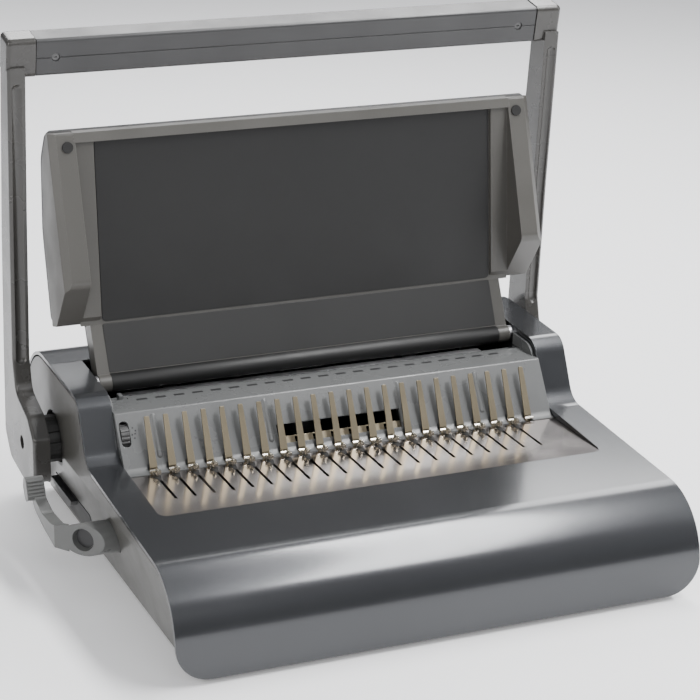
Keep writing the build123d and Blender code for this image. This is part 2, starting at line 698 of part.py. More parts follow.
# ---- handle -----------------------------------------------------------------
def bar_frame(points):
    """Points given along the crossbar's own depth and height, turned to its tilt."""
    tilt = math.radians(BAR_TILT)
    return [
        (
            BAR_Y + y * math.cos(tilt) - z * math.sin(tilt),
            BAR_Z + y * math.sin(tilt) + z * math.cos(tilt),
        )
        for y, z in points
    ]


def bar_corners(grow):
    y, z = BAR_DEEP / 2 + grow, BAR_TALL / 2 + grow
    return bar_frame([(-y, -z), (y, -z), (y, z), (-y, z)])


ARM_FRONT = [(106.5, 352.0), (115.5, 231.0), (121.0, 131.0), (115.0, 107.0)]
ARM_LOWER = [(84.0, 98.0), (70.0, 84.0), (70.0, 50.0), (101.0, 41.5), (138.0, 46.0)]
ARM_BACK = [(153.0, 64.0), (150.0, 128.0), (143.0, 224.0), (128.5, 352.0)]


def channel(points, x, radius, depth):
    """A round-bottomed hollow down the line through points, with round ends."""
    cut = Pos(x, *centre_of(points[0], radius, depth)) * Sphere(radius)
    for start, end in zip(points, points[1:]):
        y0, z0 = centre_of(start, radius, depth)
        y1, z1 = centre_of(end, radius, depth)
        along = Vector(0, y1 - y0, z1 - z0)
        place = Plane(origin=(x, y0, z0), x_dir=(1, 0, 0), z_dir=along)
        cut += place * Cylinder(radius, along.length, align=(Align.CENTER, Align.CENTER, Align.MIN))
        cut += Pos(x, y1, z1) * Sphere(radius)
    return cut


def centre_of(point, radius, depth):
    """Centre of a round cutter that sinks by depth behind a point on the arm's front."""
    return point[0] - radius + depth, point[1]


def make_arm():
    """Left arm: tall blade, widened lower end and corner block for the crossbar."""
    outline = ARM_FRONT + ARM_LOWER + ARM_BACK
    radii = [0, 30.0, 18.0, 12.0, 10.0, 6.0, 12.0, 14.0, 14.0, 12.0, 30.0, 30.0, 0]
    arm = rounded(outline, radii, -ARM_OUT, -ARM_IN)
    arm = fillet(arm.faces().sort_by(Axis.X)[0].edges(), ARM_EDGE_R)
    corner = rounded(bar_corners(0.6), [4.0, 4.0, 4.0, 4.0], -ARM_OUT, -BAR_END - 0.6)
    arm += fillet(corner.faces().sort_by(Axis.X)[0].edges(), CORNER_EDGE_R)
    top, middle, low = ARM_FRONT[:3]
    share = (336.0 - middle[1]) / (top[1] - middle[1])
    start = (middle[0] + share * (top[0] - middle[0]), 336.0)
    arm -= channel([start, middle, low], -(ARM_IN + ARM_OUT) / 2, CHANNEL_R, CHANNEL_DEEP)
    arm -= rod(SHAFT_R, -ARM_OUT - 1, -ARM_IN + 1, SHAFT_Y, SHAFT_Z) & block(
        -ARM_OUT + 4.0, -ARM_IN + 1, 0.0, 200.0, 0.0, 200.0
    )
    arm -= rod(ARM_HOLE_R, -ARM_OUT - 1, -ARM_OUT + 5.0, SHAFT_Y, SHAFT_Z)
    return arm


def make_crossbar():
    bar = rounded(bar_corners(0.0), [2.5, 2.5, 2.5, 2.5], -BAR_END, BAR_END)
    bar -= rounded(bar_corners(-BAR_WALL), [1.0, 1.0, 1.0, 1.0], -BAR_END - 1, BAR_END + 1)
    y = BAR_DEEP / 2
    groove = bar_frame([(-y - 1, -0.35), (-y + 0.5, -0.35), (-y + 0.5, 0.35), (-y - 1, 0.35)])
    bar -= prism(groove, -BAR_END - 1, BAR_END + 1)
    for x in (-SCREW_X, SCREW_X):
        bar -= bar_screw(x)
    return bar


def screw_place(x):
    """Frame on the crossbar's front face, pointing into the bar."""
    (y0, z0), (y1, z1) = bar_frame([(-BAR_DEEP / 2, 0.0), (0.0, 0.0)])
    return Plane(origin=(x, y0, z0), x_dir=(1, 0, 0), z_dir=(0, y1 - y0, z1 - z0))


def bar_screw(x):
    """Countersunk screw set into the crossbar's front face."""
    upright = (Align.CENTER, Align.CENTER, Align.MIN)
    head = Cone(SCREW_HEAD_R, SCREW_SHANK_R, 2.2 + SCREW_SINK, align=upright)
    shank = Cylinder(SCREW_SHANK_R, 12.0, align=upright)
    return screw_place(x) * (head + shank)


def make_bar_screws():
    screws = []
    for x in (-SCREW_X, SCREW_X):
        socket = Box(2.6, 0.8, 2 * SCREW_SINK + 1.6) + Box(0.8, 2.6, 2 * SCREW_SINK + 1.6)
        above = Cylinder(SCREW_HEAD_R + 1.0, 2 * SCREW_SINK)
        screw = bar_screw(x) - screw_place(x) * (socket + above)
        screws.append(screw.solids()[0])
    return Compound(children=screws)


def make_hub():
    """Left handle hub: ribbed drum between casing and arm."""
    hub = rod(HUB_R - HUB_GROOVE, -ARM_IN, -HUB_IN, SHAFT_Y, SHAFT_Z)
    for i in range(HUB_RIBS):
        rib = block(-ARM_IN, -HUB_IN, -HUB_RIB_WIDE / 2, HUB_RIB_WIDE / 2, 0.0, HUB_R - 0.4)
        hub += Pos(0, SHAFT_Y, SHAFT_Z) * Rot(360.0 / HUB_RIBS * i, 0, 0) * rib
    hub &= rod(HUB_R, -ARM_IN, -HUB_IN, SHAFT_Y, SHAFT_Z)
    return hub - rod(SHAFT_R, -ARM_IN - 1, -HUB_IN + 1, SHAFT_Y, SHAFT_Z)


def make_cross_shaft():
    end = ARM_OUT - 4.0
    return rod(SHAFT_R, -end, end, SHAFT_Y, SHAFT_Z)


def make_hub_recess():
    """Black cup round the hub, set into the side casing."""
    outer = -COVER_HALF + 3.7
    ring = rod(RECESS_R - 0.2, outer, outer + RECESS_DEEP, SHAFT_Y, SHAFT_Z)
    return ring - rod(HUB_R + 0.5, outer - 1, outer + RECESS_DEEP + 1, SHAFT_Y, SHAFT_Z)


# ---- document support -------------------------------------------------------
def make_wing():
    """Left wing: a deep wedge that rests on the deck when the support is shut."""
    back = shifted(SUPPORT_BACK, SHELL + 0.3)[:4]
    outline = [WING_FRONT_TOP, WING_FRONT_LOW, WING_LOW] + back[::-1]
    wing = rounded(outline, [2.0, 8.0, 4.0, 1.0, 30.0, 20.0, 0.5], -WING_OUT, -WING_IN)
    (y0, z0), (y1, z1) = WING_FRONT_LOW, WING_FRONT_TOP
    along = Vector(0, y1 - y0, z1 - z0)
    corner = Plane(origin=(-WING_OUT, y0, z0), x_dir=(1, 0, 0), z_dir=along)
    bevel = Polygon((-1, -1), (WING_BEVEL + 1, -1), (-1, WING_BEVEL + 1), align=None)
    return wing - extrude(corner * bevel, amount=200.0, both=True)


def make_cove():
    """Hollow corner between the left wing and the panel."""
    back = shifted(SUPPORT_BACK, SHELL + 0.3)[:4]
    outline = [WING_FRONT_TOP, WING_FRONT_LOW, WING_LOW] + back[::-1]
    limit = prism(outline, -WING_IN - 1.0, COVE_R - WING_IN)
    (y0, z0), (y1, z1) = PANEL_LOW, PANEL_TOP
    place = Plane(origin=(-WING_IN, y0, z0), x_dir=(1, 0, 0), z_dir=(0, y1 - y0, z1 - z0))
    corner = Pos(COVE_R / 2 - 0.5, COVE_R / 2 - 1.5) * Rectangle(COVE_R + 1.0, COVE_R + 3.0)
    corner -= Pos(COVE_R, COVE_R) * Circle(COVE_R)
    return limit & extrude(place * corner, amount=200.0, both=True)


def make_support_frame():
    """Front shell of the support: leaning panel, neck, side wings and hinge barrel."""
    panel_side = [
        (HINGE_Y, HINGE_Z + 4.0),
        PANEL_LOW,
        PANEL_TOP,
        (PANEL_TOP[0] + PANEL_THICK, PANEL_TOP[1]),
        (PANEL_LOW[0] + PANEL_THICK, PANEL_LOW[1]),
        (HINGE_Y + PANEL_THICK + 1.0, HINGE_Z - 2.0),
    ]
    frame = prism(panel_side, -NECK_HALF, NECK_HALF)
    frame += prism(panel_side[1:5], -WING_IN - 1.0, WING_IN + 1.0)
    wing = make_wing()
    frame += wing + mirrored(wing)
    cove = make_cove()
    frame += cove + mirrored(cove)
    inner = shifted(SUPPORT_BACK, SHELL + 0.3)
    neck_wall = [(HINGE_Y + 4.0, HINGE_Z + 4.0), PANEL_LOW, inner[3], inner[4]]
    frame += prism(neck_wall, NECK_HALF - SHELL, NECK_HALF)
    frame += prism(neck_wall, -NECK_HALF, SHELL - NECK_HALF)
    lip = [(99.5, 296.5), (109.0, 296.5), (109.0, 303.4), (102.0, 303.4)]
    frame += prism(lip, -WING_IN - 1.0, WING_IN + 1.0)
    frame += rod(HINGE_R, -NECK_HALF, NECK_HALF, HINGE_Y, HINGE_Z)
    for side in (-1, 1):
        x0, x1 = sorted((side * (NECK_HALF - 12.0), side * (NECK_HALF + 1.0)))
        frame -= rod(HINGE_PIN_R + RUN, x0, x1, HINGE_Y, HINGE_Z)
        frame -= bumper(side, -2.0, 4.0)
    return frame


def make_support_back():
    """Rear shell of the support, wide above and narrow at the neck."""
    shell = sheet(SUPPORT_BACK, [20.0, 40.0, 20.0], [1, 1, 1], SHELL, -WING_OUT, WING_OUT)
    shape = FilletPolyline(
        (-NECK_HALF, 100.0),
        (NECK_HALF, 100.0),
        (NECK_HALF, NECK_TOP_Z),
        (WING_OUT, NECK_TOP_Z),
        (WING_OUT, SUPPORT_TOP_Z + 1.0),
        (-WING_OUT, SUPPORT_TOP_Z + 1.0),
        (-WING_OUT, NECK_TOP_Z),
        (-NECK_HALF, NECK_TOP_Z),
        radius=[3.0, 3.0, 5.0, 6.0, 7.0, 7.0, 6.0, 5.0],
        close=True,
    )
    return shell & extrude(Plane.XZ * make_face(shape), amount=300.0, both=True)


def bumper(side, back, front):
    """Round rubber bumper on a wing's front face."""
    lean = math.atan2(WING_FRONT_TOP[0] - WING_FRONT_LOW[0], WING_FRONT_TOP[1] - WING_FRONT_LOW[1])
    y = WING_FRONT_TOP[0] - (WING_FRONT_TOP[1] - BUMPER_Z) * math.tan(lean)
    out = Vector(0, -math.cos(lean), math.sin(lean))
    origin = Vector(side * BUMPER_X, y, BUMPER_Z) + out * back
    place = Plane(origin=origin, x_dir=(1, 0, 0), z_dir=out)
    return place * Cylinder(BUMPER_R, front - back, align=(Align.CENTER, Align.CENTER, Align.MIN))


def make_support_bumpers():
    return Compound(children=[bumper(side, -2.0, 1.2) for side in (-1, 1)])


def make_hinge_pins():
    pin = rod(HINGE_PIN_R, -BAY_HALF, -NECK_HALF + 11.0, HINGE_Y, HINGE_Z)
    pin += rod(HINGE_PIN_R + 2.0, -BAY_HALF, -NECK_HALF - SLIDE, HINGE_Y, HINGE_Z)
    return Compound(children=[pin.solids()[0], mirrored(pin).solids()[0]])


# ---- comb lever and hook carriage -------------------------------------------
ARM_SIDE = [
    (-27.5, 59.0),
    (-10.0, 52.5),
    (16.0, 50.5),
    (34.0, 54.5),
    (40.0, 68.0),
    (45.5, 68.5),
    (48.0, 60.0),
    (38.0, 46.0),
    (12.0, 40.5),
    (-12.0, 38.0),
    (-31.0, 35.6),
]
PAD_SIDE = [(34.0, 54.5), (40.0, 68.0), (45.5, 68.5), (48.0, 60.0), (41.0, 50.0)]


def lever_cut():
    """The block beyond the slanting end of the lever hub."""
    far = 80.0
    corner = HUB_CUT_X + LEVER_Y
    outline = Polygon(
        (corner - LEVER_Y + far, LEVER_Y - far),
        (corner - LEVER_Y - far, LEVER_Y + far),
        (corner - LEVER_Y - 3 * far, LEVER_Y - far),
        align=None,
    )
    return extrude(outline, amount=400.0, dir=(0, 0, 1))


def make_comb_lever():
    hub = rod(LEVER_R, -LEVER_PLATE_OUT, HUB_INNER_X, LEVER_Y, LEVER_Z)
    arm = rounded(
        ARM_SIDE,
        [2.0, 25.0, 20.0, 5.0, 2.5, 3.0, 4.0, 14.0, 30.0, 20.0, 2.0],
        -LEVER_PLATE_OUT,
        -LEVER_PLATE_IN,
    )
    pad = rounded(PAD_SIDE, [2.0, 2.5, 3.0, 4.0, 3.0], -LEVER_PLATE_OUT - PAD_PROUD, -LEVER_PLATE_IN)
    lever = (hub + arm - lever_cut()) + pad
    for i in range(PAD_RIBS):
        share = (i + 0.8) / (PAD_RIBS + 0.6)
        y = PAD_SIDE[0][0] + share * (PAD_SIDE[1][0] - PAD_SIDE[0][0])
        z = PAD_SIDE[0][1] + share * (PAD_SIDE[1][1] - PAD_SIDE[0][1])
        lever += rod(0.8, -LEVER_PLATE_OUT - PAD_PROUD + 1.2, -LEVER_PLATE_IN - 1.2, y, z)
    lever -= lever_bore(0.0, 6.0)
    return lever - rod(LEVER_SHAFT_R, HUB_INNER_X - LEVER_SOCKET, HUB_INNER_X + 1.0, LEVER_Y, LEVER_Z)


def lever_bore(start, depth):
    """Tapering recess in the slanting end of the hub, from start to depth."""
    inward = Vector(1, 1, 0).normalized()
    origin = Vector(HUB_CUT_X, LEVER_Y, LEVER_Z) + inward * start
    place = Plane(origin=origin, x_dir=(0, 0, 1), z_dir=inward)
    wide = 8.4 - 0.3 * start
    narrow = 8.4 - 0.3 * depth
    return place * Cone(wide, narrow, depth - start, align=(Align.CENTER, Align.CENTER, Align.MIN))


def make_lever_cap():
    return lever_bore(4.0, 6.0)


def make_lever_shaft():
    return rod(LEVER_SHAFT_R, HUB_INNER_X - LEVER_SOCKET, CARRIAGE_HALF + 3.0, LEVER_Y, LEVER_Z)


def involute(radius, angle):
    """A point of the involute of a circle, at an unwinding angle."""
    x = radius * (math.cos(angle) + angle * math.sin(angle))
    y = radius * (math.sin(angle) - angle * math.cos(angle))
    return x, y


def gear_outline(teeth, module, backlash):
    """Points of an involute spur gear, one tooth centred on the +x direction."""
    pitch_r = module * teeth / 2
    base_r = pitch_r * math.cos(PRESSURE)
    tip_r, root_r = pitch_r + module, pitch_r - 1.25 * module
    half = math.pi / (2 * teeth) + math.tan(PRESSURE) - PRESSURE - backlash / (4 * pitch_r)
    start = math.sqrt(max((max(root_r, base_r) / base_r) ** 2 - 1, 0))
    end = math.sqrt((tip_r / base_r) ** 2 - 1)
    flank = []
    for i in range(6):
        x, y = involute(base_r, start + (end - start) * i / 5)
        flank.append((math.hypot(x, y), math.atan2(y, x) - half))
    if root_r < base_r:
        flank.insert(0, (root_r, flank[0][1]))
    points = []
    for tooth in range(teeth):
        centre = 2 * math.pi * tooth / teeth
        for r, a in flank + [(r, -a) for r, a in reversed(flank)]:
            points.append((r * math.cos(centre + a), r * math.sin(centre + a)))
    return points


def make_pinions():
    """Two pinions on the lever shaft, a tooth space of each facing straight up."""
    outline = gear_outline(PINION_TEETH, MODULE, BACKLASH)
    turn = 90.0 + 180.0 / PINION_TEETH
    pinions = []
    for x in (-PINION_X, PINION_X):
        face = Plane.YZ.offset(x - PINION_WIDE / 2) * Pos(LEVER_Y, LEVER_Z, 0) * Rot(0, 0, turn)
        gear = extrude(face * Polygon(*outline, align=None), amount=PINION_WIDE, dir=(1, 0, 0))
        gear -= rod(LEVER_SHAFT_R, x - PINION_WIDE, x + PINION_WIDE, LEVER_Y, LEVER_Z)
        pinions.append(gear.solids()[0])
    return Compound(children=pinions)


def rack_side():
    """Side outline of one rack, teeth down, a tooth over the pinion's centre."""
    pitch_z = LEVER_Z + PINION_R
    step = math.pi * MODULE
    lean = math.tan(PRESSURE)
    tip, root = pitch_z - MODULE, pitch_z + 1.25 * MODULE
    first = math.ceil((CARRIAGE_FRONT_Y - 34.0 - LEVER_Y) / step)
    last = math.floor((CARRIAGE_BACK_Y - 1.0 - LEVER_Y) / step)
    wide = step / 4 - BACKLASH / 4
    points = []
    for i in range(first, last + 1):
        middle = LEVER_Y + i * step
        points.append((middle - wide - 1.25 * MODULE * lean, root))
        points.append((middle - wide + MODULE * lean, tip))
        points.append((middle + wide - MODULE * lean, tip))
        points.append((middle + wide + 1.25 * MODULE * lean, root))
    back, front = points[-1][0] + 0.6, points[0][0] - 0.6
    return points + [(back, root), (back, CARRIAGE_TOP), (front, CARRIAGE_TOP), (front, root)]


def make_hook_carriage():
    """Sliding bar under the comb plate with a rack over each pinion."""
    low = LEVER_Z + PINION_R + 1.25 * MODULE
    carriage = block(
        -CARRIAGE_HALF, CARRIAGE_HALF, CARRIAGE_FRONT_Y, CARRIAGE_BACK_Y, CARRIAGE_LOW, CARRIAGE_TOP
    )
    for x in (-PINION_X, PINION_X):
        x0, x1 = x - PINION_WIDE / 2 - 2.0, x + PINION_WIDE / 2 + 2.0
        carriage -= block(x0, x1, CARRIAGE_FRONT_Y - 1, CARRIAGE_BACK_Y + 1, CARRIAGE_LOW - 1, low)
        carriage += prism(rack_side(), x0 + 1.0, x1 - 1.0)
    return carriage


def make_comb_hooks():
    """Steel hooks standing on the carriage, one in each slot of the plate."""
    hooks = []
    outline = [
        (-7.4, CARRIAGE_TOP),
        (-7.4, 79.5),
        (-9.6, 80.5),
        (-9.2, 82.6),
        (-4.6, 81.8),
        (-3.8, 79.5),
        (-3.8, CARRIAGE_TOP),
    ]
    for x in finger_xs()[:RINGS]:
        hook = prism(outline, x - HOOK_THICK / 2, x + HOOK_THICK / 2)
        hook += block(x - 2.9, x + 2.9, -6.6, -4.9, PLATE_TOP_Z + 1.4, PLATE_TOP_Z + 4.2)
        hooks.append(hook.solids()[0])
    return Compound(children=hooks)


def make_carriage_guides():
    """Rails under the comb plate that carry the ends of the carriage."""
    y0, y1 = SLOT_FRONT_Y - 2.0, FINGER_BAR_Y0 - 0.6
    lip = block(CARRIAGE_HALF - 4.0, CARRIAGE_HALF + 7.0, y0, y1, CARRIAGE_LOW - 3.5, CARRIAGE_LOW - SLIDE)
    side = block(
        CARRIAGE_HALF + SLIDE, CARRIAGE_HALF + 7.0, y0, y1, CARRIAGE_LOW - SLIDE, PLATE_TOP_Z - PLATE_THICK
    )
    rail = lip + side
    return Compound(children=[rail.solids()[0], mirrored(rail).solids()[0]])


def make_lever_brackets():
    """Posts on the pan that carry the lever shaft."""
    posts = []
    half = BRACKET_WIDE / 2
    for x in (5.0 - CARRIAGE_HALF, 0.0, CARRIAGE_HALF - 5.0):
        post = block(x - half, x + half, LEVER_Y - 8.0, LEVER_Y + 8.0, PAN_Z + PAN_WALL, LEVER_Z + 9.0)
        post = fillet(post.edges().filter_by(Axis.X).group_by(Axis.Z)[-1], 6.0)
        post += block(
            x - 9.0, x + 9.0, LEVER_Y - 8.0, LEVER_Y + 8.0, PAN_Z + PAN_WALL, PAN_Z + PAN_WALL + 3.0
        )
        post -= rod(LEVER_SHAFT_R + RUN, x - 5.0, x + 5.0, LEVER_Y, LEVER_Z)
        posts.append(post.solids()[0])
    return Compound(children=posts)


# ---- thumbwheel and edge guide ----------------------------------------------
def make_thumbwheel():
    y, z = wheel_axis()
    right = WHEEL_LEFT_X + WHEEL_WIDE
    wheel = rod(WHEEL_R, WHEEL_LEFT_X, right, y, z)
    for i in range(WHEEL_FLUTES):
        angle = 2 * math.pi * i / WHEEL_FLUTES
        reach = WHEEL_R + 0.5
        wheel -= rod(
            1.1, WHEEL_LEFT_X - 1, right + 1, y + reach * math.cos(angle), z + reach * math.sin(angle)
        )
    return wheel - rod(JOURNAL_R, WHEEL_LEFT_X - 1, right + 1, y, z)


def make_lead_screw():
    y, z = wheel_axis()
    right = WHEEL_LEFT_X + WHEEL_WIDE
    screw = rod(SCREW_R, right, SCREW_END_X - 0.3, y, z)
    return screw + rod(JOURNAL_R, -BAY_HALF + 0.8, right, y, z)


def make_edge_guide():
    """Nut on the lead screw with an arm up into the throat."""
    y, z = wheel_axis()
    x0, x1 = GUIDE_X - GUIDE_LONG / 2, GUIDE_X + GUIDE_LONG / 2
    guide = rod(NUT_R, x0, x1, y, z)
    guide += block(x0, x1, y, THROAT_Y + 4.0, z - 4.0, z + 3.0)
    guide += block(x0, x1, THROAT_Y - 2.0, THROAT_Y + THROAT_WIDE - 0.6, z - 4.0, LEDGE_Z + 2.5)
    return guide - rod(SCREW_R + RUN, x0 - 1, x1 + 1, y, z)


# ---- chip drawer ------------------------------------------------------------
def lean_x(z):
    """Outer face of the left casing at height z."""
    share = (z - SKIRT_Z) / (CASING_LEAN_Z - SKIRT_Z)
    return -(CASING_FOOT_HALF + share * (COVER_HALF - 0.2 - CASING_FOOT_HALF))


def make_chip_drawer():
    """Open-topped tray with a face that follows the lean of the casing."""
    left = lean_x(DRAWER_LOW) + DRAWER_FACE
    tray = block(left, DRAWER_RIGHT, DRAWER_Y0, DRAWER_Y1, DRAWER_LOW, DRAWER_HIGH)
    hollow = block(
        left + DRAWER_WALL,
        DRAWER_RIGHT - DRAWER_WALL,
        DRAWER_Y0 + DRAWER_WALL,
        DRAWER_Y1 - DRAWER_WALL,
        DRAWER_LOW + DRAWER_WALL,
        DRAWER_HIGH + 1.0,
    )
    face = Polygon(
        (lean_x(DRAWER_LOW) - 0.3, DRAWER_LOW),
        (lean_x(DRAWER_HIGH) - 0.3, DRAWER_HIGH),
        (lean_x(DRAWER_LOW) + DRAWER_FACE, DRAWER_HIGH),
        (lean_x(DRAWER_LOW) + DRAWER_FACE, DRAWER_LOW),
        align=None,
    )
    face = Plane.XZ.offset(-DRAWER_Y0) * face
    front = extrude(face, amount=DRAWER_Y1 - DRAWER_Y0, dir=(0, 1, 0))
    return tray - hollow + front


def make_drawer_grip():
    """Half-round grip on the drawer's face."""
    top_z = DRAWER_HIGH - 1.0
    radius = (GRIP_HALF**2 + GRIP_DROP**2) / (2 * GRIP_DROP)
    far, near = -COVER_HALF - 10.0, -CASING_FOOT_HALF + 10.0
    disc = rod(radius, far, near, GRIP_Y, top_z - GRIP_DROP + radius)
    disc &= block(far, near, GRIP_Y - GRIP_HALF - 1, GRIP_Y + GRIP_HALF + 1, 0.0, top_z)
    slab = Polygon(
        (lean_x(DRAWER_LOW) - 0.3, DRAWER_LOW),
        (lean_x(DRAWER_HIGH) - 0.3, DRAWER_HIGH),
        (lean_x(DRAWER_HIGH) - 0.3 - GRIP_THICK, DRAWER_HIGH),
        (lean_x(DRAWER_LOW) - 0.3 - GRIP_THICK, DRAWER_LOW),
        align=None,
    )
    return disc & extrude(Plane.XZ * slab, amount=300.0, both=True)


# ---- springs and screws -----------------------------------------------------
def make_return_spring():
    """Torsion spring round the handle shaft."""
    path = Helix(
        pitch=SPRING_PITCH,
        height=SPRING_PITCH * SPRING_TURNS,
        radius=SHAFT_R + 3.0,
        center=(SPRING_X, SHAFT_Y, SHAFT_Z),
        direction=(1, 0, 0),
    )
    return sweep(Plane(origin=path @ 0, z_dir=path % 0) * Circle(SPRING_WIRE_R), path=path)


def make_pan_screws():
    screws = []
    for x, y in SCREW_PLACES:
        head = Pos(x, y, PAN_Z - 0.9) * Cylinder(PAN_SCREW_R, 1.8)
        screws.append(head - Pos(x, y, PAN_Z - 1.5) * Box(5.0, 1.0, 1.0))
    return Compound(children=[s.solids()[0] for s in screws])


BUILDERS = {
    "base_pan": make_base_pan,
    "feet": make_feet,
    "pan_screws": make_pan_screws,
    "front_cover": make_front_cover,
    "rear_cover": make_rear_cover,
    "left_side_casing": make_left_casing,
    "right_side_casing": make_right_casing,
    "comb_plate": make_comb_plate,
    "comb_fingers": make_comb_fingers,
    "finger_bar": make_finger_bar,
    "punch_tower": make_punch_tower,
    "window_rail": make_window_rail,
    "die_plate": make_die_plate,
    "punch_guide": make_punch_guide,
    "left_frame_plate": lambda: mirrored(make_frame_plate()),
    "right_frame_plate": make_frame_plate,
    "shaft_bushes": make_shaft_bushes,
    "left_hub_recess": make_hub_recess,
    "right_hub_recess": lambda: mirrored(make_hub_recess()),
    "lever_brackets": make_lever_brackets,
    "carriage_guides": make_carriage_guides,
    "support_hinge_pins": make_hinge_pins,
    "handle_return_spring": make_return_spring,
    "punch_bar": make_punch_bar,
    "punches": make_punches,
    "cross_shaft": make_cross_shaft,
    "punch_cams": make_cams,
    "left_handle_arm": make_arm,
    "right_handle_arm": lambda: mirrored(make_arm()),
    "left_handle_hub": make_hub,
    "right_handle_hub": lambda: mirrored(make_hub()),
    "handle_crossbar": make_crossbar,
    "crossbar_screws": make_bar_screws,
    "support_frame": make_support_frame,
    "support_back": make_support_back,
    "support_bumpers": make_support_bumpers,
    "comb_lever": make_comb_lever,
    "lever_cap": make_lever_cap,
    "lever_shaft": make_lever_shaft,
    "lever_pinions": make_pinions,
    "hook_carriage": make_hook_carriage,
    "comb_hooks": make_comb_hooks,
    "thumbwheel": make_thumbwheel,
    "lead_screw": make_lead_screw,
    "edge_guide": make_edge_guide,
    "chip_drawer": make_chip_drawer,
    "drawer_grip": make_drawer_grip,
}

for name, build in BUILDERS.items():
    write(name, build())
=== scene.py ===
"""Looks of a comb binding machine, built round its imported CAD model. Metres, +Z up."""
import json
import math

import bpy
from mathutils import Matrix, Vector


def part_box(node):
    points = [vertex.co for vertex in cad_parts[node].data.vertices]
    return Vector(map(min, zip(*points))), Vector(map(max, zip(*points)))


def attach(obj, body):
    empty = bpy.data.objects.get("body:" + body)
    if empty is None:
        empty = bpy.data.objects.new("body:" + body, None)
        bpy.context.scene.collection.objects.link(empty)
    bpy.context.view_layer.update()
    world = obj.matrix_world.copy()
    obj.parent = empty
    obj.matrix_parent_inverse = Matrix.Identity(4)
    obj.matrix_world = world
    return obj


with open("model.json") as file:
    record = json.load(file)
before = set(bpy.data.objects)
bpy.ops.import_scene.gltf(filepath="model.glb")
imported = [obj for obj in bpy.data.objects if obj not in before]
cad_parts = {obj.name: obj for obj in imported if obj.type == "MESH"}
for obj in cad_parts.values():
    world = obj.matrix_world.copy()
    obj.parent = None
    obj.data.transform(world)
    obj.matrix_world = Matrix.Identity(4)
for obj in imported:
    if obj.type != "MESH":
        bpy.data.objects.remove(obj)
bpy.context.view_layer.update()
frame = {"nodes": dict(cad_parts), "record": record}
NODES = frame["nodes"]
MM = 0.001
# The comb: one ring and one punch for each tooth of the comb, a finger at each side of every ring.
PITCH = 14.2875 * MM
RINGS = 21
FINGERS = RINGS + 1
PUNCH_XS = [PITCH * (i - (RINGS - 1) / 2) for i in range(RINGS)]


# ---- camera, stage and lights --------------------------------------------------
CAMERA_PLACE = (-0.605, -1.401, 0.684)
CAMERA_HEADING, CAMERA_DROP, CAMERA_ROLL = math.radians(-23.37), math.radians(19.25), math.radians(0.99)
SENSOR_WIDTH, FOCAL_LENGTH = 36.0, 114.17
HORIZON_LIGHT, ZENITH_LIGHT = 0.08, 0.55
SKY_TONE = (0.93, 0.95, 1.0, 1.0)
WARM_LIGHT = (1.0, 0.98, 0.95)
WHITE = (1.0, 1.0, 1.0)
FLOOR_WIDE, FLOOR_GLOW = 14.0, 0.22


def make_camera():
    """A long lens, left of the machine and a little above it."""
    data = bpy.data.cameras.new("camera")
    data.sensor_width = SENSOR_WIDTH
    data.lens = FOCAL_LENGTH
    data.clip_end = 50.0
    camera = bpy.data.objects.new("camera", data)
    camera.location = CAMERA_PLACE
    swing = Matrix.Rotation(CAMERA_HEADING, 4, "Z")
    tilt = Matrix.Rotation(math.radians(90.0) - CAMERA_DROP, 4, "X")
    roll = Matrix.Rotation(CAMERA_ROLL, 4, "Z")
    camera.rotation_euler = (swing @ tilt @ roll).to_euler()
    bpy.context.scene.collection.objects.link(camera)
    bpy.context.scene.camera = camera


def area_light(name, place, target, size, power, tone=WHITE):
    """A rectangular softbox at place, turned to face target."""
    data = bpy.data.lights.new(name, "AREA")
    data.shape = "RECTANGLE"
    data.size, data.size_y = size
    data.energy = power
    data.color = tone
    light = bpy.data.objects.new(name, data)
    light.location = place
    light.rotation_euler = (Vector(target) - Vector(place)).to_track_quat("-Z", "Y").to_euler()
    bpy.context.scene.collection.objects.link(light)


def make_sky():
    """A dim room, darker towards the horizon, so that glossy covers have something to show."""
    world = bpy.data.worlds.new("studio")
    world.use_nodes = True
    nodes, links = world.node_tree.nodes, world.node_tree.links
    backdrop = nodes["Background"]
    where = nodes.new("ShaderNodeTexCoord")
    split = nodes.new("ShaderNodeSeparateXYZ")
    rise = nodes.new("ShaderNodeMapRange")
    rise.inputs["From Min"].default_value = 0.0
    rise.inputs["From Max"].default_value = 0.8
    rise.inputs["To Min"].default_value = HORIZON_LIGHT
    rise.inputs["To Max"].default_value = ZENITH_LIGHT
    links.new(where.outputs["Generated"], split.inputs[0])
    links.new(split.outputs["Z"], rise.inputs["Value"])
    links.new(rise.outputs["Result"], backdrop.inputs["Strength"])
    backdrop.inputs["Color"].default_value = SKY_TONE
    bpy.context.scene.world = world


def make_softboxes():
    """A long strip overhead for the covers' highlights, and four softboxes round the machine."""
    low, middle = (0.0, 0.0, 0.1), (0.0, 0.0, 0.15)
    area_light("overhead_strip", (0.62, -0.15, 1.45), (0.0, -0.15, 0.08), (1.9, 0.30), 46.0)
    area_light("back_softbox", (0.5, 1.5, 1.3), low, (1.8, 0.6), 26.0)
    area_light("left_softbox", (-1.8, -0.5, 0.9), middle, (0.5, 1.0), 12.0, WARM_LIGHT)
    area_light("right_softbox", (1.6, -0.9, 1.0), low, (0.4, 1.0), 8.0)
    area_light("front_softbox", (-0.5, -2.2, 1.5), low, (1.6, 0.5), 14.0)


